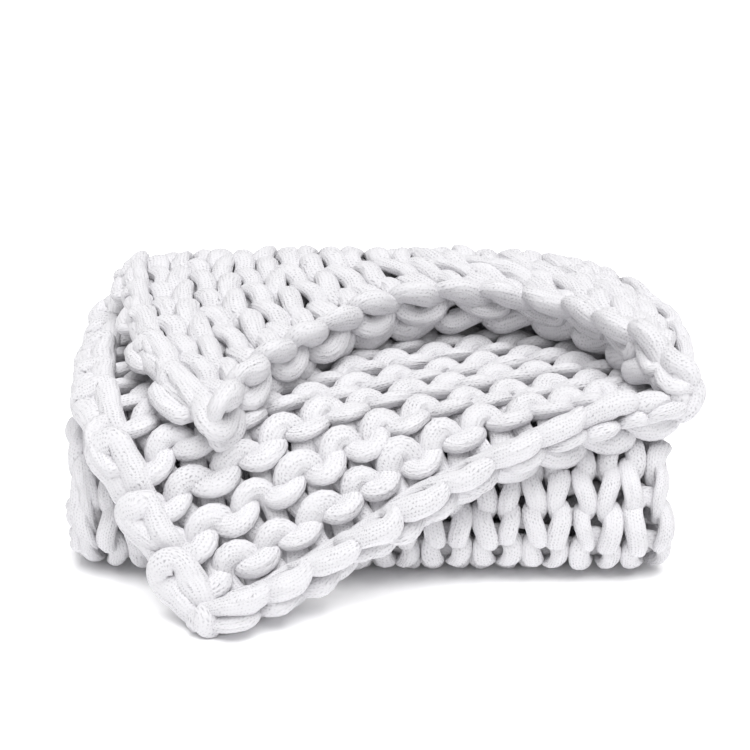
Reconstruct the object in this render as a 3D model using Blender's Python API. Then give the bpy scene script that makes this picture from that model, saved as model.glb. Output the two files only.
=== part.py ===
"""Chunky knit throw, folded in half across its width and then in three along its length.

One knitted panel, closed as one body. The panel is described by stations across its
width, counted in stitches (0 and 24 are the side edges, 12 is the half fold at the right),
and by a path along its length that runs from the bound-off edge, over the pile, round the
back fold, forward, round the front fold and back under. Metres, +Z up, front at -Y.
"""
import bpy
import bmesh
import numpy as np

# The flat throw
STITCHES = 24.0
STITCH = 0.0535
FOLD_START, FOLD_END = 11.5, 12.5

# The knitted layer
HALF_THICK = 0.0135
RIB = 0.0028
RIM = 0.011
BIND_OFF = 0.0016
PURL_RELIEF = 0.0010

# Heights of the layer centres, from the floor up
Z_UNDER_A, Z_UNDER_B = 0.0155, 0.0565
Z_MIDDLE_B, Z_MIDDLE_A = 0.0975, 0.1385
Z_LOWER_TOP = 0.1780

# Depth of the pile
Y_FRONT_FOLD = 0.0660
Y_BACK_FOLD_A, Y_BACK_FOLD_B = 0.360, 0.330
BACK_REACH_B = 0.085
Y_UNDER_END = 0.400
X_SELVAGE = -0.324

# The front fold turns back at its left end: how far, and over what width
TURN_BACK, TURN_WIDTH = 0.028, 0.085

# The lower half of the front fold bulges forward: how far, and between what heights
BELLY = 0.018
Z_BELLY_TOP, Z_BELLY = 0.110, 0.030

# Drape of the lower layer over the front of the pile, down to the floor
Z_DRAPE_FLOOR = 0.0165
Y_BEND = 0.062
R_BEND, R_FOOT = 0.085, 0.060
SLOPE = np.radians(52.0)

# Where the origin goes, so that the box stands centred on it
SHIFT = (-0.0135, -0.1472)
FLAT_BELOW = 0.006

# Shares of the top pass at its edge, middle, back and the point beyond that sets the slope
LOWER_SHARES = (0.0, 0.48, 1.0, 1.15)
UPPER_SHARES = (0.0, 0.55, 1.0, 1.25)
BEYOND = 0.05

# Cells along each stretch of the path
CELLS = dict(top=15, back=8, middle=6, front=9, under=7)
CELLS_PER_STITCH = 2
CELLS_IN_FOLD = 6

# Lower layer of the top pass, laid out flat: station, edge, middle and back point.
# "run" is the distance along the drape, equal to y where the layer lies level.
LOWER = dict(
    columns=("station", "edge_x", "edge_run", "mid_x", "mid_run"),
    rows=(
        (0.0, -0.175, -0.192, -0.300, 0.050),
        (3.0, -0.040, -0.113, -0.125, 0.085),
        (6.0, 0.084, -0.036, 0.030, 0.130),
        (9.0, 0.222, 0.027, 0.180, 0.180),
        (11.5, 0.309, 0.054, 0.306, 0.210),
    ),
)

# Upper layer of the top pass: station, edge point, middle point, and where it turns down.
UPPER = dict(
    columns=("station", "edge_x", "edge_y", "edge_z", "mid_x", "mid_y", "mid_z", "back_x", "back_z"),
    rows=(
        (12.5, 0.319, 0.066, 0.219, 0.321, 0.200, 0.226, 0.288, 0.230),
        (14.0, 0.292, 0.120, 0.230, 0.278, 0.236, 0.242, 0.226, 0.247),
        (15.5, 0.243, 0.204, 0.235, 0.205, 0.276, 0.250, 0.150, 0.256),
        (17.0, 0.156, 0.258, 0.237, 0.115, 0.298, 0.253, 0.068, 0.259),
        (19.0, 0.018, 0.236, 0.235, -0.018, 0.285, 0.253, -0.040, 0.259),
        (21.0, -0.083, 0.146, 0.222, -0.122, 0.235, 0.248, -0.143, 0.257),
        (22.5, -0.140, 0.060, 0.213, -0.195, 0.180, 0.240, -0.222, 0.253),
        (24.0, -0.176, -0.030, 0.189, -0.258, 0.120, 0.228, -0.296, 0.246),
    ),
)


def clear_scene():
    for item in list(bpy.data.objects):
        bpy.data.objects.remove(item)


def smooth_through(knots, values, at):
    """Cubic through the values at the knots, with slopes taken from the neighbours."""
    knots = np.asarray(knots, float)
    values = np.asarray(values, float)
    at = np.atleast_1d(np.asarray(at, float))
    steps = np.diff(knots)[:, None]
    rises = np.diff(values, axis=0) / steps
    slopes = np.empty_like(values)
    slopes[0], slopes[-1] = rises[0], rises[-1]
    before, after = steps[:-1], steps[1:]
    slopes[1:-1] = (rises[:-1] * after + rises[1:] * before) / (before + after)
    cell = np.clip(np.searchsorted(knots, at, side="right") - 1, 0, len(knots) - 2)
    width = steps[cell]
    t = ((at - knots[cell])[:, None]) / width
    start, end = values[cell], values[cell + 1]
    lift = (2 * t + 1) * (t - 1) ** 2 * start + t * t * (3 - 2 * t) * end
    bend = t * (t - 1) ** 2 * slopes[cell] + t * t * (t - 1) * slopes[cell + 1]
    return lift + width * bend


def read_table(table, station):
    """One row of the table at any station, as a dictionary by column name."""
    rows = np.array(table["rows"])
    values = smooth_through(rows[:, 0], rows[:, 1:], [station])[0]
    return dict(zip(table["columns"][1:], values))


def drape(run):
    """Turn distance along the drape into y and z."""
    bend_length, foot_length = R_BEND * SLOPE, R_FOOT * SLOPE
    rounding = (R_BEND + R_FOOT) * (1 - np.cos(SLOPE))
    straight = (Z_LOWER_TOP - Z_DRAPE_FLOOR - rounding) / np.sin(SLOPE)
    past = np.maximum(Y_BEND - run, 0.0)
    turn = np.minimum(past / R_BEND, SLOPE)
    level = np.clip(past - bend_length, 0.0, straight)
    foot = np.clip((past - bend_length - straight) / R_FOOT, 0.0, SLOPE)
    flat = np.maximum(past - bend_length - straight - foot_length, 0.0)
    y = np.maximum(run, Y_BEND) - R_BEND * np.sin(turn) - level * np.cos(SLOPE)
    y = y - R_FOOT * (np.sin(SLOPE) - np.sin(SLOPE - foot)) - flat
    z = Z_LOWER_TOP - R_BEND * (1 - np.cos(turn)) - level * np.sin(SLOPE)
    z = z - R_FOOT * (np.cos(SLOPE - foot) - np.cos(SLOPE))
    return y, z


def base_x(station):
    """Sideways place of a station in the two lower passes."""
    if station <= STITCHES / 2:
        return X_SELVAGE + STITCH * station
    return X_SELVAGE + STITCH * (STITCHES - station)


def front_fold(station):
    """Depth of the middle of the front fold, which rounds back at the left end."""
    inside = (base_x(station) - X_SELVAGE) / TURN_WIDTH
    return Y_FRONT_FOLD + TURN_BACK * max(1 - inside, 0.0) ** 2


def arc(x, centre_y, centre_z, reach_y, reach_z, start, end, cells):
    """Points of an elliptic arc in the plane of constant x, without its first point."""
    angle = np.radians(np.linspace(start, end, cells + 1)[1:])
    y = centre_y + reach_y * np.cos(angle)
    z = centre_z + reach_z * np.sin(angle)
    return np.column_stack([np.full(cells, x), y, z])


def belly(z):
    """How far the front fold bulges forward at a height."""
    low = np.clip((Z_BELLY_TOP - z) / (Z_BELLY_TOP - Z_BELLY), 0.0, 1.0)
    return BELLY * low ** 2 * (3 - 2 * low)


def front_turn(x, front, centre_z, reach, cells):
    """Points round the front fold, without its first point."""
    turn = arc(x, front, centre_z, reach, reach, 90, 270, cells)
    turn[:, 1] -= belly(turn[:, 2])
    return turn


def level_run(x, y_from, y_to, z, cells):
    """Points of a level stretch, without its first point."""
    y = np.linspace(y_from, y_to, cells + 1)[1:]
    return np.column_stack([np.full(cells, x), y, np.full(cells, z)])


def lower_top(station, cells):
    """The lower layer of the top pass, from its edge to the back fold."""
    row = read_table(LOWER, station)
    edge = (row["edge_x"], row["edge_run"])
    middle = (row["mid_x"], row["mid_run"])
    back = (base_x(station), Y_BACK_FOLD_A)
    behind = (base_x(station), Y_BACK_FOLD_A + BEYOND)
    flat = smooth_through(LOWER_SHARES, [edge, middle, back, behind], np.linspace(0, 1, cells + 1))
    y, z = drape(flat[:, 1])
    return np.column_stack([flat[:, 0], y, z])


def upper_top(station, cells):
    """The upper layer of the top pass, from its edge to the back fold."""
    row = read_table(UPPER, station)
    edge = (row["edge_x"], row["edge_y"], row["edge_z"])
    middle = (row["mid_x"], row["mid_y"], row["mid_z"])
    back = (row["back_x"], Y_BACK_FOLD_B, row["back_z"])
    behind = (row["back_x"], Y_BACK_FOLD_B + BEYOND, row["back_z"])
    return smooth_through(UPPER_SHARES, [edge, middle, back, behind], np.linspace(0, 1, cells + 1))


def path_lower(station, cells):
    """Layer that lies under the top pass, over the middle one and on the floor."""
    x = base_x(station)
    front = front_fold(station)
    middle_back = (Z_LOWER_TOP + Z_MIDDLE_A) / 2
    back_reach = (Z_LOWER_TOP - Z_MIDDLE_A) / 2
    middle_front = (Z_MIDDLE_A + Z_UNDER_A) / 2
    front_reach = (Z_MIDDLE_A - Z_UNDER_A) / 2
    return np.vstack([
        lower_top(station, cells["top"]),
        arc(x, Y_BACK_FOLD_A, middle_back, back_reach, back_reach, 90, -90, cells["back"]),
        level_run(x, Y_BACK_FOLD_A, front, Z_MIDDLE_A, cells["middle"]),
        front_turn(x, front, middle_front, front_reach, cells["front"]),
        level_run(x, front - belly(Z_UNDER_A), Y_UNDER_END, Z_UNDER_A, cells["under"]),
    ])


def path_upper(station, cells):
    """Layer that lies over the top pass and inside the two lower ones."""
    x = base_x(station)
    top = upper_top(station, cells["top"])
    middle_back = (top[-1, 2] + Z_MIDDLE_B) / 2
    back_reach = (top[-1, 2] - Z_MIDDLE_B) / 2
    middle_front = (Z_MIDDLE_B + Z_UNDER_B) / 2
    front_reach = (Z_MIDDLE_B - Z_UNDER_B) / 2
    front = front_fold(station) - belly(middle_front)
    back = arc(x, Y_BACK_FOLD_B, middle_back, BACK_REACH_B, back_reach, 90, -90, cells["back"])
    slide = np.linspace(0, 1, cells["back"] + 1)[1:]
    back[:, 0] = top[-1, 0] + (x - top[-1, 0]) * slide ** 2 * (3 - 2 * slide)
    return np.vstack([
        top,
        back,
        level_run(x, Y_BACK_FOLD_B, front, Z_MIDDLE_B, cells["middle"]),
        arc(x, front, middle_front, front_reach, front_reach, 90, 270, cells["front"]),
        level_run(x, front, Y_UNDER_END, Z_UNDER_B, cells["under"]),
    ])


def path(station, cells):
    """Centre line of the panel along its length, at one station across it."""
    if station <= FOLD_START:
        return path_lower(station, cells)
    if station >= FOLD_END:
        return path_upper(station, cells)
    low = path_lower(FOLD_START, cells)
    high = path_upper(FOLD_END, cells)
    turn = np.pi * (station - FOLD_START) / (FOLD_END - FOLD_START)
    half = (high - low) / 2
    bulge = np.linalg.norm(half, axis=1)[:, None] * np.array([1.0, 0.0, 0.0])
    return (low + high) / 2 - half * np.cos(turn) + bulge * np.sin(turn)


def stations():
    """Stations across the panel, closer together round the half fold."""
    side = int(FOLD_START * CELLS_PER_STITCH)
    left = np.linspace(0.0, FOLD_START, side + 1)
    fold = np.linspace(FOLD_START, FOLD_END, CELLS_IN_FOLD + 1)[1:-1]
    return np.concatenate([left, fold, STITCHES - left[::-1]])


def unit(vectors):
    length = np.linalg.norm(vectors, axis=-1, keepdims=True)
    return vectors / np.maximum(length, 1e-9)


def faces_out(centre, across):
    """Unit normals towards the knit side of the cloth."""
    along_width = np.gradient(centre, across, axis=0)
    along_length = np.gradient(centre, axis=1)
    return unit(np.cross(along_length, along_width))


def build_grids():
    """Knit face, purl face and rim line of the panel."""
    across = stations()
    centre = np.array([path(station, CELLS) for station in across])
    out = faces_out(centre, across)
    rib = RIB * np.cos(2 * np.pi * across)[:, None, None]
    in_fold = (across > FOLD_START) & (across < FOLD_END)
    rib[in_fold] = 0.0
    thick = np.full(centre.shape[:2], HALF_THICK)
    thick[:, 0] += BIND_OFF
    thick[:, -1] += BIND_OFF / 2
    inside = thick - PURL_RELIEF
    inside[in_fold] -= PURL_RELIEF
    knit = centre + out * (thick[..., None] + rib)
    purl = centre - out * inside[..., None]
    rim = centre.copy()
    rim[0] += RIM * unit(centre[0] - centre[1])
    rim[-1] += RIM * unit(centre[-1] - centre[-2])
    rim[:, 0] += RIM * unit(centre[:, 0] - centre[:, 1])
    rim[:, -1] += RIM * unit(centre[:, -1] - centre[:, -2])
    for grid in (knit, purl, rim):
        grid[..., 2] = np.where(grid[..., 2] < FLAT_BELOW, 0.0, grid[..., 2])
    return knit, purl, rim


def border(rows, columns):
    """Grid places round the border, in order."""
    first = [(i, 0) for i in range(rows)]
    second = [(rows - 1, j) for j in range(1, columns)]
    third = [(i, columns - 1) for i in range(rows - 2, -1, -1)]
    fourth = [(0, j) for j in range(columns - 2, 0, -1)]
    return first + second + third + fourth


def build_panel():
    knit, purl, rim = build_grids()
    rows, columns = knit.shape[:2]
    mesh_maker = bmesh.new()
    shift = np.array([SHIFT[0], SHIFT[1], 0.0])
    front = [[mesh_maker.verts.new(p + shift) for p in line] for line in knit]
    back = [[mesh_maker.verts.new(p + shift) for p in line] for line in purl]
    for i in range(rows - 1):
        for j in range(columns - 1):
            mesh_maker.faces.new((front[i][j], front[i + 1][j], front[i + 1][j + 1], front[i][j + 1]))
            mesh_maker.faces.new((back[i][j], back[i][j + 1], back[i + 1][j + 1], back[i + 1][j]))
    places = border(rows, columns)
    edge = [mesh_maker.verts.new(rim[i, j] + shift) for i, j in places]
    for n in range(len(places)):
        m = (n + 1) % len(places)
        (i, j), (k, l) = places[n], places[m]
        mesh_maker.faces.new((front[k][l], front[i][j], edge[n], edge[m]))
        mesh_maker.faces.new((edge[m], edge[n], back[i][j], back[k][l]))
    bmesh.ops.triangulate(mesh_maker, faces=mesh_maker.faces[:])
    bmesh.ops.recalc_face_normals(mesh_maker, faces=mesh_maker.faces[:])
    mesh = bpy.data.meshes.new("knit_throw")
    mesh_maker.to_mesh(mesh)
    mesh_maker.free()
    return bpy.data.objects.new("knit_throw", mesh)


def cotton_yarn():
    """White cotton yarn."""
    material = bpy.data.materials.new("white_cotton_yarn")
    material.use_nodes = True
    shader = material.node_tree.nodes["Principled BSDF"]
    shader.inputs["Base Color"].default_value = (0.86, 0.85, 0.86, 1.0)
    shader.inputs["Roughness"].default_value = 0.9
    return material


clear_scene()
throw = build_panel()
throw.data.materials.append(cotton_yarn())
bpy.context.scene.collection.objects.link(throw)
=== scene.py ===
"""Chunky knit throw, knitted stitch by stitch from tube yarn on the folds of its CAD solid."""
import math

import bpy
import numpy as np
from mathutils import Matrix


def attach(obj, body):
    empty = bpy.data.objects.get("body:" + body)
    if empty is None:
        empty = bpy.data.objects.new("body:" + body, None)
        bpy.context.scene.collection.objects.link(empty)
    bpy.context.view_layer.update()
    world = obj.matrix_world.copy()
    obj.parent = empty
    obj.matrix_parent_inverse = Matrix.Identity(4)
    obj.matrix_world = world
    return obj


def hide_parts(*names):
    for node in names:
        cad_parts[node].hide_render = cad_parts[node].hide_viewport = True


# The flat throw: stitches across, rows along, and the size it would lie out to
STITCHES = 24
ROWS = 30
STITCH = 0.0535
FOLD_START, FOLD_END = 11.5, 12.5

# Heights of the layer centres, from the floor up
Z_UNDER_A, Z_UNDER_B = 0.0155, 0.0565
Z_MIDDLE_B, Z_MIDDLE_A = 0.0975, 0.1385
Z_LOWER_TOP = 0.1780

# Depth of the pile
Y_FRONT_FOLD = 0.0660
Y_BACK_FOLD_A, Y_BACK_FOLD_B = 0.360, 0.330
BACK_REACH_B = 0.085
Y_UNDER_END = 0.400
X_SELVAGE = -0.324

# The front fold turns back at its left end: how far, and over what width
TURN_BACK, TURN_WIDTH = 0.028, 0.085

# The lower half of the front fold bulges forward: how far, and between what heights
BELLY = 0.018
Z_BELLY_TOP, Z_BELLY = 0.110, 0.030

# Drape of the lower layer over the front of the pile, down to the floor
Z_DRAPE_FLOOR = 0.0165
Y_BEND = 0.062
R_BEND, R_FOOT = 0.085, 0.060
SLOPE = math.radians(52.0)

# From the sizes above to the row frame, whose origin is under the middle of the pile
SHIFT = np.array([-0.0135, -0.1472, 0.0])

# Shares of the top pass at its edge, middle, back and the point beyond that sets the slope
LOWER_SHARES = (0.0, 0.48, 1.0, 1.15)
UPPER_SHARES = (0.0, 0.55, 1.0, 1.25)
BEYOND = 0.05

# Lower layer of the top pass, laid out flat. "run" is the distance along the drape.
LOWER = dict(
    columns=("station", "edge_x", "edge_run", "mid_x", "mid_run"),
    rows=(
        (0.0, -0.175, -0.192, -0.300, 0.050),
        (3.0, -0.040, -0.113, -0.125, 0.085),
        (6.0, 0.084, -0.036, 0.030, 0.130),
        (9.0, 0.222, 0.027, 0.180, 0.180),
        (11.5, 0.309, 0.054, 0.306, 0.210),
    ),
)

# Upper layer of the top pass: edge point, middle point, and where it turns down.
UPPER = dict(
    columns=("station", "edge_x", "edge_y", "edge_z", "mid_x", "mid_y", "mid_z", "back_x", "back_z"),
    rows=(
        (12.5, 0.319, 0.066, 0.219, 0.321, 0.200, 0.226, 0.288, 0.230),
        (14.0, 0.292, 0.120, 0.230, 0.278, 0.236, 0.242, 0.226, 0.247),
        (15.5, 0.243, 0.204, 0.235, 0.205, 0.276, 0.250, 0.150, 0.256),
        (17.0, 0.156, 0.258, 0.237, 0.115, 0.298, 0.253, 0.068, 0.259),
        (19.0, 0.018, 0.236, 0.235, -0.018, 0.285, 0.253, -0.040, 0.259),
        (21.0, -0.083, 0.146, 0.222, -0.122, 0.235, 0.248, -0.143, 0.257),
        (22.5, -0.140, 0.060, 0.213, -0.195, 0.180, 0.240, -0.222, 0.253),
        (24.0, -0.176, -0.030, 0.189, -0.258, 0.120, 0.228, -0.296, 0.246),
    ),
)

# Steps along each stretch of the path
STEPS = dict(top=60, back=24, middle=16, front=32, under=16)

# Row pitch on the top pass and back fold, and the rows where the front fold starts and ends
TOP_ROW = 0.048
FRONT_ROWS = dict(
    columns=("station", "start", "end"),
    rows=(
        (0.0, 19.0, 23.0),
        (11.5, 19.0, 23.0),
        (14.0, 20.3, 21.7),
        (24.0, 20.3, 21.7),
    ),
)

# The yarn: a knitted cotton tube, pressed a little flat
YARN_WIDE = 0.0270
YARN_THICK = 0.0180
YARN_SIDES = 12
LOOP_STEPS = 28
BOUND_STEPS = 44
SIDE_STEPS = 40

# One loop, in stitches and rows: its middle, how far its legs lean, how tall it is, and
# how deep it dives, in metres
LOOP_MIDDLE = 0.35
LOOP_LEAN = 0.17
LOOP_TALL = 0.74
LOOP_DEEP = 0.0080

# Handwork: how far the yarn strays, in stitches and rows, how much of that is out of the
# cloth, in metres, and how much is in a chain
UNEVEN = 0.045
STRAY_OUT = 0.02
STRAY_CHAIN = 0.5

# How the yarn's fullness varies, the dents in its tube, and how they are smoothed
LUMPY = 0.06
DENTED = 0.09
DENT_STEPS = 3
DENT_BLEND = 2.5

# Fullness at a cut end of the yarn, and how much comes back at each step from it
END_SWELL, END_GAIN = 0.3, 0.2

# How far the yarn rounds a side edge between two rows, in stitches, and in how many steps
TURN_OUT = 0.15
TURN_STEPS = 10

# Share of the cloth's normal that turns the tube at each step
FRAME_PULL = 0.3

# Fullness of the yarn where the front fold stretches it, and the rows where that starts,
# is full, ends and is gone
STRETCHED = 0.82
STRETCH_ROWS = (18.0, 19.5, 23.0, 24.5)

# Lookup grid of the cloth, in steps a stitch or row, and how far it runs past the edges
GRID_STEPS = 8
MARGIN = 1

SEED = 7


def smooth_through(knots, values, at):
    """Cubic through the values at the knots, with slopes taken from the neighbours."""
    knots = np.asarray(knots, float)
    values = np.asarray(values, float)
    at = np.atleast_1d(np.asarray(at, float))
    steps = np.diff(knots)[:, None]
    rises = np.diff(values, axis=0) / steps
    slopes = np.empty_like(values)
    slopes[0], slopes[-1] = rises[0], rises[-1]
    before, after = steps[:-1], steps[1:]
    slopes[1:-1] = (rises[:-1] * after + rises[1:] * before) / (before + after)
    cell = np.clip(np.searchsorted(knots, at, side="right") - 1, 0, len(knots) - 2)
    width = steps[cell]
    t = ((at - knots[cell])[:, None]) / width
    start, end = values[cell], values[cell + 1]
    lift = (2 * t + 1) * (t - 1) ** 2 * start + t * t * (3 - 2 * t) * end
    bend = t * (t - 1) ** 2 * slopes[cell] + t * t * (t - 1) * slopes[cell + 1]
    return lift + width * bend


def read_table(table, station):
    """One row of the table at any station, as a dictionary by column name."""
    rows = np.array(table["rows"])
    values = smooth_through(rows[:, 0], rows[:, 1:], [station])[0]
    return dict(zip(table["columns"][1:], values))


def unit(vectors):
    length = np.linalg.norm(vectors, axis=-1, keepdims=True)
    return vectors / np.maximum(length, 1e-9)


# The folded cloth, as in part.py

def drape(run):
    """Turn distance along the drape into y and z."""
    bend_length, foot_length = R_BEND * SLOPE, R_FOOT * SLOPE
    rounding = (R_BEND + R_FOOT) * (1 - math.cos(SLOPE))
    straight = (Z_LOWER_TOP - Z_DRAPE_FLOOR - rounding) / math.sin(SLOPE)
    past = np.maximum(Y_BEND - run, 0.0)
    turn = np.minimum(past / R_BEND, SLOPE)
    level = np.clip(past - bend_length, 0.0, straight)
    foot = np.clip((past - bend_length - straight) / R_FOOT, 0.0, SLOPE)
    flat = np.maximum(past - bend_length - straight - foot_length, 0.0)
    y = np.maximum(run, Y_BEND) - R_BEND * np.sin(turn) - level * math.cos(SLOPE)
    y = y - R_FOOT * (math.sin(SLOPE) - np.sin(SLOPE - foot)) - flat
    z = Z_LOWER_TOP - R_BEND * (1 - np.cos(turn)) - level * math.sin(SLOPE)
    z = z - R_FOOT * (np.cos(SLOPE - foot) - math.cos(SLOPE))
    return y, z


def base_x(station):
    """Sideways place of a station in the two lower passes."""
    return X_SELVAGE + STITCH * min(station, STITCHES - station)


def front_fold(station):
    """Depth of the middle of the front fold, which rounds back at the left end."""
    inside = (base_x(station) - X_SELVAGE) / TURN_WIDTH
    return Y_FRONT_FOLD + TURN_BACK * max(1 - inside, 0.0) ** 2


def arc(x, centre_y, centre_z, reach_y, reach_z, start, end, steps):
    """Points of an elliptic arc in the plane of constant x, without its first point."""
    angle = np.radians(np.linspace(start, end, steps + 1)[1:])
    y = centre_y + reach_y * np.cos(angle)
    z = centre_z + reach_z * np.sin(angle)
    return np.column_stack([np.full(steps, x), y, z])


def belly(z):
    """How far the front fold bulges forward at a height."""
    low = np.clip((Z_BELLY_TOP - z) / (Z_BELLY_TOP - Z_BELLY), 0.0, 1.0)
    return BELLY * low ** 2 * (3 - 2 * low)


def front_turn(x, front, centre_z, reach, steps):
    """Points round the front fold, without its first point."""
    turn = arc(x, front, centre_z, reach, reach, 90, 270, steps)
    turn[:, 1] -= belly(turn[:, 2])
    return turn


def level_run(x, y_from, y_to, z, steps):
    """Points of a level stretch, without its first point."""
    y = np.linspace(y_from, y_to, steps + 1)[1:]
    return np.column_stack([np.full(steps, x), y, np.full(steps, z)])


def lower_top(station):
    """The lower layer of the top pass, from its edge to the back fold."""
    row = read_table(LOWER, station)
    edge = (row["edge_x"], row["edge_run"])
    middle = (row["mid_x"], row["mid_run"])
    back = (base_x(station), Y_BACK_FOLD_A)
    behind = (base_x(station), Y_BACK_FOLD_A + BEYOND)
    shares = np.linspace(0, 1, STEPS["top"] + 1)
    flat = smooth_through(LOWER_SHARES, [edge, middle, back, behind], shares)
    y, z = drape(flat[:, 1])
    return np.column_stack([flat[:, 0], y, z])


def upper_top(station):
    """The upper layer of the top pass, from its edge to the back fold."""
    row = read_table(UPPER, station)
    edge = (row["edge_x"], row["edge_y"], row["edge_z"])
    middle = (row["mid_x"], row["mid_y"], row["mid_z"])
    back = (row["back_x"], Y_BACK_FOLD_B, row["back_z"])
    behind = (row["back_x"], Y_BACK_FOLD_B + BEYOND, row["back_z"])
    shares = np.linspace(0, 1, STEPS["top"] + 1)
    return smooth_through(UPPER_SHARES, [edge, middle, back, behind], shares)


def path_lower(station):
    """Layer that lies under the top pass, over the middle one and on the floor."""
    x = base_x(station)
    front = front_fold(station)
    middle_back = (Z_LOWER_TOP + Z_MIDDLE_A) / 2
    back_reach = (Z_LOWER_TOP - Z_MIDDLE_A) / 2
    middle_front = (Z_MIDDLE_A + Z_UNDER_A) / 2
    front_reach = (Z_MIDDLE_A - Z_UNDER_A) / 2
    return np.vstack([
        lower_top(station),
        arc(x, Y_BACK_FOLD_A, middle_back, back_reach, back_reach, 90, -90, STEPS["back"]),
        level_run(x, Y_BACK_FOLD_A, front, Z_MIDDLE_A, STEPS["middle"]),
        front_turn(x, front, middle_front, front_reach, STEPS["front"]),
        level_run(x, front - belly(Z_UNDER_A), Y_UNDER_END, Z_UNDER_A, STEPS["under"]),
    ])


def path_upper(station):
    """Layer that lies over the top pass and inside the two lower ones."""
    x = base_x(station)
    top = upper_top(station)
    middle_back = (top[-1, 2] + Z_MIDDLE_B) / 2
    back_reach = (top[-1, 2] - Z_MIDDLE_B) / 2
    middle_front = (Z_MIDDLE_B + Z_UNDER_B) / 2
    front_reach = (Z_MIDDLE_B - Z_UNDER_B) / 2
    front = front_fold(station) - belly(middle_front)
    back = arc(x, Y_BACK_FOLD_B, middle_back, BACK_REACH_B, back_reach, 90, -90, STEPS["back"])
    slide = np.linspace(0, 1, STEPS["back"] + 1)[1:]
    back[:, 0] = top[-1, 0] + (x - top[-1, 0]) * slide ** 2 * (3 - 2 * slide)
    return np.vstack([
        top,
        back,
        level_run(x, Y_BACK_FOLD_B, front, Z_MIDDLE_B, STEPS["middle"]),
        arc(x, front, middle_front, front_reach, front_reach, 90, 270, STEPS["front"]),
        level_run(x, front, Y_UNDER_END, Z_UNDER_B, STEPS["under"]),
    ])


def path(station):
    """Centre line of the cloth along its length, at one station across it."""
    if station <= FOLD_START:
        return path_lower(station)
    if station >= FOLD_END:
        return path_upper(station)
    low = path_lower(FOLD_START)
    high = path_upper(FOLD_END)
    turn = math.pi * (station - FOLD_START) / (FOLD_END - FOLD_START)
    half = (high - low) / 2
    bulge = np.linalg.norm(half, axis=1)[:, None] * np.array([1.0, 0.0, 0.0])
    return (low + high) / 2 - half * math.cos(turn) + bulge * math.sin(turn)


def rows_along(points, station):
    """Row number at each point of a path, counted from the bound-off edge."""
    step = np.linalg.norm(np.diff(points, axis=0), axis=1)
    length = np.concatenate([[0.0], np.cumsum(step)])
    back = STEPS["top"] + STEPS["back"]
    front_start = back + STEPS["middle"]
    front_end = front_start + STEPS["front"]
    front = read_table(FRONT_ROWS, station)
    marks = [0, back, front_start, front_end, len(points) - 1]
    rows = [0.0, length[back] / TOP_ROW, front["start"], front["end"], float(ROWS)]
    return np.interp(length, length[marks], rows)


def extend(grid, axis, steps):
    """Run a grid on past both of its ends, straight."""
    first, second = np.take(grid, 0, axis), np.take(grid, 1, axis)
    last, before = np.take(grid, -1, axis), np.take(grid, -2, axis)
    ahead = [first + (first - second) * k for k in range(steps, 0, -1)]
    beyond = [last + (last - before) * k for k in range(1, steps + 1)]
    return np.concatenate([np.stack(ahead, axis), grid, np.stack(beyond, axis)], axis)


def cloth_grid():
    """Centre points and knit-side normals of the cloth, on an even grid of stitches and rows."""
    stations = np.linspace(0, STITCHES, STITCHES * GRID_STEPS + 1)
    rows = np.linspace(0, ROWS, ROWS * GRID_STEPS + 1)
    centre = []
    for station in stations:
        points = path(station)
        along = rows_along(points, station)
        centre.append(np.column_stack([np.interp(rows, along, points[:, k]) for k in range(3)]))
    centre = np.array(centre) + SHIFT
    centre = extend(extend(centre, 0, MARGIN * GRID_STEPS), 1, MARGIN * GRID_STEPS)
    across = np.gradient(centre, axis=0)
    down = np.gradient(centre, axis=1)
    normal = unit(np.cross(down, across))
    return centre, normal


def look_up(grid, stitch, row):
    """Grid value at any stitch and row, between its four nearest points."""
    i = np.clip((np.asarray(stitch) + MARGIN) * GRID_STEPS, 0, grid.shape[0] - 1.001)
    j = np.clip((np.asarray(row) + MARGIN) * GRID_STEPS, 0, grid.shape[1] - 1.001)
    i0, j0 = i.astype(int), j.astype(int)
    a, b = (i - i0)[:, None], (j - j0)[:, None]
    near = grid[i0, j0] * (1 - b) + grid[i0, j0 + 1] * b
    far = grid[i0 + 1, j0] * (1 - b) + grid[i0 + 1, j0 + 1] * b
    return near * (1 - a) + far * a


def on_cloth(cloth, stitch, row, out):
    """Point at a stitch and row, so far out of the knit face, and the normal there."""
    centre, normal = cloth
    up = unit(look_up(normal, stitch, row))
    return look_up(centre, stitch, row) + up * np.asarray(out)[:, None], up


# The yarn's route

def uneven(rng, count, knots, size):
    """A slow, seeded wander along a line of points."""
    places = np.linspace(0, 1, knots)
    return np.interp(np.linspace(0, 1, count), places, rng.normal(0, size, knots))


def row_route(row, rng):
    """Stitch, row and depth along one row of loops, from the left edge to the right."""
    count = STITCHES * LOOP_STEPS + 1
    turn = np.linspace(-math.pi, 2 * math.pi * STITCHES - math.pi, count)
    knots = STITCHES * 2 + 1
    stitch = (turn + math.pi) / (2 * math.pi) + LOOP_LEAN * np.sin(2 * turn)
    stitch = stitch + uneven(rng, count, knots, UNEVEN)
    along = row + LOOP_MIDDLE - LOOP_TALL * np.cos(turn) + uneven(rng, count, knots, UNEVEN)
    out = -LOOP_DEEP * np.cos(2 * turn) + uneven(rng, count, knots, UNEVEN * STRAY_OUT)
    return np.column_stack([stitch, along, out])


def edge_turn(last, first, side):
    """Yarn that rounds the side edge from the end of one row to the start of the next."""
    sweep = np.linspace(0, math.pi, TURN_STEPS)[1:-1]
    middle, half = (last + first) / 2, (last - first) / 2
    points = middle + half * np.cos(sweep)[:, None]
    points[:, 0] += side * TURN_OUT * np.sin(sweep)
    return points


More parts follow.
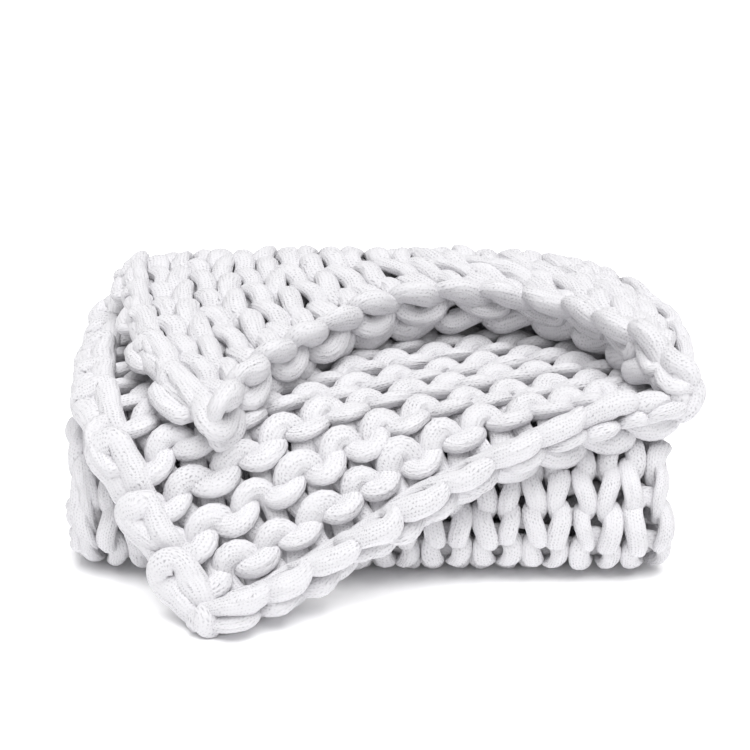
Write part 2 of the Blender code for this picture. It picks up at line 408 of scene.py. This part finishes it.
def knit_route(rows, rng):
    """One yarn up through several rows, to and fro, from the lowest row to the first."""
    route = []
    for place, row in enumerate(sorted(rows, reverse=True)):
        loops = row_route(row, rng)
        if place % 2:
            loops = loops[::-1]
        if route:
            side = 1 if place % 2 else -1
            route.append(edge_turn(route[-1][-1], loops[0], side))
        route.append(loops)
    return np.vstack(route)


# One link of a bound-off edge: along it, to its sides and out of it, in link lengths, and
# how full the yarn is. Each leg rises from under the link before and ends further out.
BOUND_LINK = dict(
    columns=("along", "side", "out", "swell"),
    rows=(
        (0.02, -0.08, -0.12, 0.78),
        (0.24, -0.25, -0.01, 0.92),
        (0.60, -0.39, 0.14, 1.18),
        (0.98, -0.48, 0.22, 1.18),
        (1.24, -0.42, 0.11, 0.92),
        (1.19, -0.12, -0.05, 0.78),
        (1.27, 0.24, 0.02, 0.85),
        (1.15, 0.43, 0.14, 1.02),
        (0.80, 0.38, 0.22, 1.20),
        (0.42, 0.18, 0.13, 1.05),
        (0.14, 0.02, -0.08, 0.78),
        (0.50, 0.00, -0.13, 0.75),
    ),
)

# One link of a side edge, whose head lies over the start of the next link like a strap
SIDE_LINK = dict(
    columns=("along", "side", "out", "swell"),
    rows=(
        (0.04, -0.10, -0.14, 0.85),
        (0.32, -0.19, 0.04, 1.10),
        (0.70, -0.20, 0.12, 1.26),
        (1.01, -0.29, 0.22, 1.12),
        (1.12, -0.15, 0.30, 1.18),
        (1.12, 0.15, 0.30, 1.18),
        (1.01, 0.29, 0.22, 1.12),
        (0.70, 0.20, 0.12, 1.26),
        (0.32, 0.19, 0.04, 1.10),
        (0.04, 0.10, -0.14, 0.85),
        (0.50, 0.00, -0.36, 0.75),
    ),
)

# How a chain starts and ends, in the same terms
SLIP_KNOT = (
    (0.10, 0.14, -0.10, 0.70),
    (-0.08, 0.20, 0.00, 0.90),
    (-0.20, 0.08, 0.06, 1.05),
    (-0.20, -0.08, 0.06, 1.05),
    (-0.08, -0.20, 0.00, 0.90),
)
CHAIN_END = (0.0, 0.0, -0.20, 0.60)

# Length of one link of each kind, and how far the last one overhangs, in links
BOUND_PITCH, LEFT_PITCH, RIGHT_PITCH = 0.056, 0.070, 0.070
OVERHANG = 0.26

# Chain yarn: how round it is, its fullness on the two sides, and how much thinner it runs
# in the lower passes
CHAIN_PLUMP = 1.2
LEFT_SIZE, RIGHT_SIZE = 0.96, 0.8
LOW_SLIM = 0.22

# Where the chains lie: tilt about the side edges, inset, the left chain's top end, and
# how far out of the cloth their length is measured, in stitches
LEFT_TILT, RIGHT_TILT = -1.0, 0.6
TUCK = 0.25
CORNER = (0.05, 0.1)
OUTER = 0.3
EDGE_STEPS = 600

# Where a chain hugs the cloth: the half fold's width and the right end's, in stitches, the
# row where the lower passes begin and over how many, and how much closer it lies in each
FOLD_REACH, RIGHT_REACH = 1.2, 1.5
LOWER_FROM, LOWER_OVER = 15.0, 3.0
HUG_FOLD, HUG_LOWER, HUG_RIGHT = 0.6, 0.4, 0.4


def lower_share(row):
    """How far a row is into the lower passes, from 0 to 1."""
    return np.clip((row - LOWER_FROM) / LOWER_OVER, 0.0, 1.0)


def snugness(stitch, row):
    """How far links stand off the cloth: less where it folds, lies low or lies level."""
    at_fold = np.exp(-((stitch - STITCHES / 2) / FOLD_REACH) ** 2)
    below = lower_share(row)
    right = np.clip(stitch - STITCHES + RIGHT_REACH, 0.0, 1.0)
    level = right * np.clip(row, 0.0, 1.0) * (1 - below)
    return 1.0 - HUG_FOLD * at_fold - HUG_LOWER * below - HUG_RIGHT * level


def chain_line(shape, links, steps, backward, rng):
    """Places along, beside and out of a chain edge, and its swell, as one line."""
    link = np.array(shape["rows"])
    knots = [np.array(SLIP_KNOT)]
    for k in range(links):
        wobble = rng.normal(0, UNEVEN * STRAY_CHAIN, link.shape)
        knots.append(link + [k, 0, 0, 0] + wobble)
    knots.append(np.array([CHAIN_END]) + [links, 0, 0, 0])
    knots = np.vstack(knots)
    places = np.arange(len(knots))
    line = smooth_through(places, knots, np.linspace(0, len(knots) - 1, links * steps))
    if backward:
        line[:, 0] = links + OVERHANG - line[:, 0]
    return line


# Meshes

def carried_frames(tangent, up):
    """Flat-side directions along a line, turned towards the cloth's normal without a flip."""
    aim = up - tangent * np.sum(up * tangent, axis=1, keepdims=True)
    rise = np.empty_like(aim)
    now = unit(aim[0])
    for k, ahead in enumerate(tangent):
        wanted = aim[k] if np.dot(aim[k], now) > 0 else -aim[k]
        now = now + wanted * FRAME_PULL
        now = unit(now - ahead * np.dot(now, ahead))
        rise[k] = now
    return rise


def dents(count, rng):
    """How full the tube is at each point round and along it, softly uneven."""
    knots = count // DENT_STEPS + 2
    coarse = rng.normal(0, DENTED, (knots, YARN_SIDES))
    beside = np.roll(coarse, 1, axis=1) + 2 * coarse + np.roll(coarse, -1, axis=1)
    coarse = beside / DENT_BLEND
    along = np.linspace(0, knots - 1, count)
    places = np.arange(knots)
    return 1 + np.column_stack([np.interp(along, places, line) for line in coarse.T])


def sweep_tube(points, up, wide, thick, rng):
    """Points, faces and surface coordinates of a flattened tube along a line."""
    tangent = unit(np.gradient(points, axis=0))
    rise = carried_frames(tangent, up)
    side = np.cross(tangent, rise)
    angle = np.linspace(0, 2 * math.pi, YARN_SIDES, endpoint=False)
    across = side[:, None] * np.cos(angle)[None, :, None] * (wide / 2)[:, None, None]
    upward = rise[:, None] * np.sin(angle)[None, :, None] * (thick / 2)[:, None, None]
    rings = points[:, None] + (across + upward) * dents(len(points), rng)[:, :, None]
    lowest = rings[:, :, 2].min(axis=1)
    rings[:, :, 2] += np.maximum(-lowest, 0.0)[:, None]
    count = len(points)
    ring = np.arange(count - 1)[:, None] * YARN_SIDES
    place = np.arange(YARN_SIDES)[None, :]
    following = (place + 1) % YARN_SIDES
    corners = [ring + place, ring + following, ring + YARN_SIDES + following, ring + YARN_SIDES + place]
    faces = np.stack(corners, axis=-1).reshape(-1, 4)
    length = np.concatenate([[0.0], np.cumsum(np.linalg.norm(np.diff(points, axis=0), axis=1))])
    around = np.broadcast_to(place / YARN_SIDES, (count - 1, YARN_SIDES))
    step = 1 / YARN_SIDES
    start = np.broadcast_to(length[:-1, None], around.shape)
    end = np.broadcast_to(length[1:, None], around.shape)
    u = np.stack([around, around + step, around + step, around], axis=-1).reshape(-1)
    v = np.stack([start, start, end, end], axis=-1).reshape(-1)
    return rings.reshape(-1, 3), faces, np.column_stack([u, v])


def make_piece(name, tubes, material):
    """One mesh object of one or more tubes, smooth, with closed ends."""
    points, faces, flat = [], [], []
    offset = 0
    caps = []
    for tube_points, tube_faces, tube_flat in tubes:
        points.append(tube_points)
        faces.append(tube_faces + offset)
        flat.append(tube_flat)
        first = offset + np.arange(YARN_SIDES)
        last = offset + len(tube_points) - YARN_SIDES + np.arange(YARN_SIDES)
        caps += [first[::-1], last]
        offset += len(tube_points)
    points = np.vstack(points)
    quads = np.vstack(faces)
    mesh = bpy.data.meshes.new(name)
    mesh.vertices.add(len(points))
    mesh.vertices.foreach_set("co", points.astype(np.float32).ravel())
    loops = np.concatenate([quads.ravel(), np.concatenate(caps)])
    totals = np.concatenate([np.full(len(quads), 4), np.full(len(caps), YARN_SIDES)])
    starts = np.concatenate([[0], np.cumsum(totals)[:-1]])
    mesh.loops.add(len(loops))
    mesh.loops.foreach_set("vertex_index", loops.astype(np.int32))
    mesh.polygons.add(len(totals))
    mesh.polygons.foreach_set("loop_start", starts.astype(np.int32))
    mesh.polygons.foreach_set("use_smooth", np.ones(len(totals), dtype=bool))
    layer = mesh.uv_layers.new(name="yarn")
    spread = np.zeros((len(loops), 2), np.float32)
    spread[:len(quads) * 4] = np.vstack(flat)
    layer.data.foreach_set("uv", spread.ravel())
    mesh.update(calc_edges=True)
    mesh.validate()
    mesh.materials.append(material)
    piece = bpy.data.objects.new(name, mesh)
    bpy.context.scene.collection.objects.link(piece)
    return piece


def lay_yarn(name, points, up, swell, plump, material, rng):
    """One piece of yarn along its points, with narrow ends."""
    close = np.minimum(np.arange(len(points)), np.arange(len(points))[::-1])
    swell = swell * np.clip(END_SWELL + close * END_GAIN, END_SWELL, 1.0)
    tube = sweep_tube(points, up, YARN_WIDE * swell, YARN_THICK * plump * swell, rng)
    return make_piece(name, [tube], material)


def knit_rows(name, cloth, rows, material, rng):
    """One piece of the knitting, some rows of it."""
    route = knit_route(rows, rng)
    points, up = on_cloth(cloth, route[:, 0], route[:, 1], route[:, 2])
    swell = 1 + uneven(rng, len(points), len(points) * 3 // LOOP_STEPS, LUMPY)
    in_fold = np.interp(route[:, 1], STRETCH_ROWS, (0, 1, 1, 0))
    swell = swell * (1 + (STRETCHED - 1) * in_fold)
    return lay_yarn(name, points, up, swell, 1.0, material, rng)


def chain_edge(name, cloth, shape, start, end, pitch, steps, tilt, backward, size, material, rng):
    """A chain of links along an edge of the cloth, between two places in stitches and rows."""
    shares = np.linspace(0, 1, EDGE_STEPS)
    stitch = start[0] + (end[0] - start[0]) * shares
    row = start[1] + (end[1] - start[1]) * shares
    middle, face = on_cloth(cloth, stitch, row, np.zeros(EDGE_STEPS))
    outer = middle + face * STITCH * OUTER
    step = np.linalg.norm(np.diff(outer, axis=0), axis=1)
    length = np.concatenate([[0.0], np.cumsum(step)])
    links = round(length[-1] / pitch)
    line = chain_line(shape, links, steps, backward, rng)
    place = line[:, 0] * length[-1] / (links + OVERHANG)
    snug = np.interp(place, length, snugness(stitch, row))[:, None]
    slim = 1 - LOW_SLIM * lower_share(np.interp(place, length, row))
    along = unit(np.gradient(middle, axis=0))
    outward = unit(np.cross(along, face))
    sideways = face * math.cos(tilt) + outward * math.sin(tilt)
    out = unit(np.cross(sideways, along))
    spread = [np.interp(place, length, grid[:, k]) for grid in (middle, sideways, out) for k in range(3)]
    middle, sideways, out = np.array(spread).T.reshape(-1, 3, 3).transpose(1, 0, 2)
    points = middle + STITCH * snug * (sideways * line[:, 1:2] + out * line[:, 2:3])
    return lay_yarn(name, points, out, line[:, 3] * size * slim, CHAIN_PLUMP, material, rng)


# Materials

def linear(hex_colour):
    """Linear colour from an sRGB hex string."""
    parts = [int(hex_colour[k:k + 2], 16) / 255 for k in (1, 3, 5)]
    return tuple(p / 12.92 if p <= 0.04045 else ((p + 0.055) / 1.055) ** 2.4 for p in parts) + (1.0,)


def add_node(tree, kind, settings=None, **inputs):
    """Add a node, set its properties, and set or link its inputs by name or number."""
    node = tree.nodes.new(kind)
    for key, value in (settings or {}).items():
        setattr(node, key, value)
    for key, value in inputs.items():
        socket = node.inputs[int(key[1:])] if key[0] == "_" else node.inputs[key.replace("_", " ")]
        if isinstance(value, bpy.types.NodeSocket):
            tree.links.new(value, socket)
        else:
            socket.default_value = value
    return node


def maths(tree, operation, *values):
    """Output of a Math node."""
    inputs = {f"_{place}": value for place, value in enumerate(values)}
    return add_node(tree, "ShaderNodeMath", {"operation": operation}, **inputs).outputs[0]


def tube_yarn():
    """White cotton tube yarn: a fine knitted tube, with small V stitches and pits between them, the pits
    painted darker as shade.
    """
    wales = 20
    course_m = 0.0034
    stray_wales, stray_courses = 1.6, 2.0
    slant, stagger = 0.9, 0.5
    streak_share, fuzz_share = 1.3, 0.9
    lengthwise = 22.0
    material = bpy.data.materials.new("white_cotton_tube_yarn")
    material.use_nodes = True
    tree = material.node_tree
    shader = tree.nodes["Principled BSDF"]
    where = add_node(tree, "ShaderNodeTexCoord").outputs["Object"]
    place = add_node(tree, "ShaderNodeUVMap", {"uv_map": "yarn"})
    parts = add_node(tree, "ShaderNodeSeparateXYZ", Vector=place.outputs["UV"])
    drift = add_node(tree, "ShaderNodeTexNoise", Vector=where, Scale=95.0, Detail=1.0)
    shift = maths(tree, "SUBTRACT", drift.outputs[0], 0.5)
    whole = maths(tree, "MULTIPLY", parts.outputs["X"], float(wales))
    wale = maths(tree, "MULTIPLY_ADD", shift, stray_wales, whole)
    beside = maths(tree, "PINGPONG", wale, 0.5)
    odd = maths(tree, "FLOOR", maths(tree, "MODULO", wale, 2.0))
    course = maths(tree, "DIVIDE", parts.outputs["Y"], course_m)
    shifted = maths(tree, "MULTIPLY_ADD", shift, stray_courses, course)
    slanted = maths(tree, "MULTIPLY_ADD", beside, slant, shifted)
    staggered = maths(tree, "MULTIPLY_ADD", odd, stagger, slanted)
    between = maths(tree, "PINGPONG", staggered, 0.5)
    pit = maths(tree, "ADD", beside, between)
    # Patches where the pits run deeper and their painted shade is darker
    patchy = add_node(tree, "ShaderNodeTexNoise", Vector=where, Scale=60.0, Detail=1.0)
    pit_depth_and_shade_patches = add_node(tree, "ShaderNodeMapRange", Value=patchy.outputs[0], From_Min=0.35,
                    From_Max=0.65, To_Min=0.35)
    hole = add_node(tree, "ShaderNodeMapRange", Value=pit, From_Min=0.62, From_Max=0.96)
    pit_depth_and_shade = maths(tree, "MULTIPLY", hole.outputs[0], pit_depth_and_shade_patches.outputs[0])
    turn = maths(tree, "MULTIPLY", parts.outputs["X"], 2 * math.pi)
    ring_x = maths(tree, "COSINE", turn)
    ring_y = maths(tree, "SINE", turn)
    length = maths(tree, "MULTIPLY", parts.outputs["Y"], lengthwise)
    ring = add_node(tree, "ShaderNodeCombineXYZ", X=ring_x, Y=ring_y, Z=length)
    crease = add_node(tree, "ShaderNodeTexNoise", Vector=ring.outputs[0], Scale=1.6, Detail=2.0)
    streak = add_node(tree, "ShaderNodeTexNoise", Vector=ring.outputs[0], Scale=6.0, Detail=2.0)
    fuzz = add_node(tree, "ShaderNodeTexNoise", Vector=where, Scale=380.0, Detail=3.0)
    flat = maths(tree, "SUBTRACT", 1.0, pit_depth_and_shade)
    streaked = maths(tree, "MULTIPLY_ADD", streak.outputs[0], streak_share, flat)
    height = maths(tree, "MULTIPLY_ADD", fuzz.outputs[0], fuzz_share, streaked)
    folds = add_node(tree, "ShaderNodeBump", Height=crease.outputs[0], Strength=0.5, Distance=0.007)
    bump = add_node(tree, "ShaderNodeBump", Height=height, Strength=0.6, Distance=0.0011,
                    Normal=folds.outputs[0])
    # Painted shade: the yarn's colour darkens from #D9D8DB towards #AEADB1 in the pits, more in some
    # patches than in others
    tone = add_node(tree, "ShaderNodeMix", {"data_type": "RGBA"}, Factor=pit_depth_and_shade,
                    _6=linear("#D9D8DB"), _7=linear("#AEADB1"))
    tree.links.new(tone.outputs[2], shader.inputs["Base Color"])
    tree.links.new(bump.outputs[0], shader.inputs["Normal"])
    shader.inputs["Roughness"].default_value = 0.88
    shader.inputs["Specular IOR Level"].default_value = 0.25
    shader.inputs["Sheen Weight"].default_value = 0.15
    shader.inputs["Sheen Roughness"].default_value = 0.5
    return material


def studio_white():
    """Seamless white studio floor, which glows a little where nothing stands near."""
    glow, near = 0.36, 0.03
    material = bpy.data.materials.new("studio_white")
    material.use_nodes = True
    tree = material.node_tree
    shader = tree.nodes["Principled BSDF"]
    shader.inputs["Base Color"].default_value = linear("#FCFCFD")
    shader.inputs["Roughness"].default_value = 0.8
    shader.inputs["Specular IOR Level"].default_value = 0.1
    shader.inputs["Emission Color"].default_value = linear("#FFFFFF")
    open_air = add_node(tree, "ShaderNodeAmbientOcclusion", Distance=near)
    lit = maths(tree, "POWER", open_air.outputs["AO"], 2.0)
    tree.links.new(maths(tree, "MULTIPLY", lit, glow), shader.inputs["Emission Strength"])
    return material


# Stage, light and camera

def make_floor():
    half = 40.0
    corners = [(-half, -half, 0), (half, -half, 0), (half, half, 0), (-half, half, 0)]
    mesh = bpy.data.meshes.new("studio_floor")
    mesh.from_pydata(corners, [], [(0, 1, 2, 3)])
    mesh.materials.append(studio_white())
    floor = bpy.data.objects.new("studio_floor", mesh)
    bpy.context.scene.collection.objects.link(floor)


def make_light():
    world = bpy.data.worlds.new("studio_air")
    world.use_nodes = True
    air = world.node_tree.nodes["Background"]
    air.inputs["Color"].default_value = linear("#FFFFFF")
    air.inputs["Strength"].default_value = 0.44
    bpy.context.scene.world = world
    data = bpy.data.lights.new("overhead_softbox", "SUN")
    data.energy = 0.99 * math.pi
    data.angle = math.radians(55)
    light = bpy.data.objects.new("overhead_softbox", data)
    light.rotation_euler = (math.radians(15), math.radians(4), 0)
    bpy.context.scene.collection.objects.link(light)


def make_camera():
    """The photograph's camera: about 2.2 m away, looking down 21 degrees through a long lens."""
    down = math.radians(21.0)
    data = bpy.data.cameras.new("camera")
    data.sensor_width = 36.0
    data.lens = 98.06
    camera = bpy.data.objects.new("camera", data)
    camera.location = (-0.0135, -2.1440, 1.0078)
    camera.rotation_euler = (math.pi / 2 - down, 0.0, 0.0)
    bpy.context.scene.collection.objects.link(camera)
    bpy.context.scene.camera = camera


def make_throw():
    rng = np.random.default_rng(SEED)
    material = tube_yarn()
    cloth = cloth_grid()
    body = [
        knit_rows("knitting_top", cloth, range(0, 10), material, rng),
        knit_rows("knitting_middle", cloth, range(10, 20), material, rng),
        knit_rows("knitting_under", cloth, range(20, ROWS), material, rng),
    ]
    edges = []
    left, right = TUCK, STITCHES - TUCK
    for name, start, end in (("bound_off_edge", (0.0, 0), (right, 0)),
                             ("cast_on_edge", (right, ROWS), (left, ROWS))):
        edges.append(chain_edge(name, cloth, BOUND_LINK, start, end,
                                BOUND_PITCH, BOUND_STEPS, 0.0, False, 1.0, material, rng))
    edges.append(chain_edge("left_side_edge", cloth, SIDE_LINK, (left, ROWS), CORNER,
                            LEFT_PITCH, SIDE_STEPS, LEFT_TILT, True, LEFT_SIZE, material, rng))
    edges.append(chain_edge("right_side_edge", cloth, SIDE_LINK, (right, TUCK), (right, ROWS),
                            RIGHT_PITCH, SIDE_STEPS, RIGHT_TILT, False, RIGHT_SIZE, material, rng))
    for piece in body + edges:
        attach(piece, "root")
    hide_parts("knit_throw")


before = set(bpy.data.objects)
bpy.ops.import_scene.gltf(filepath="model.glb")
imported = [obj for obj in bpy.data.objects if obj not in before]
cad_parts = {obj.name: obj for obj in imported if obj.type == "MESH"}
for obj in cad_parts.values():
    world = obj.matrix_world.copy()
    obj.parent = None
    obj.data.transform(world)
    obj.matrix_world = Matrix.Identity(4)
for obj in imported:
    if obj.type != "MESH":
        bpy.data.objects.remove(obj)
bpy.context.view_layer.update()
bpy.context.scene.view_settings.view_transform = "Standard"
make_camera()
make_light()
make_floor()
make_throw()
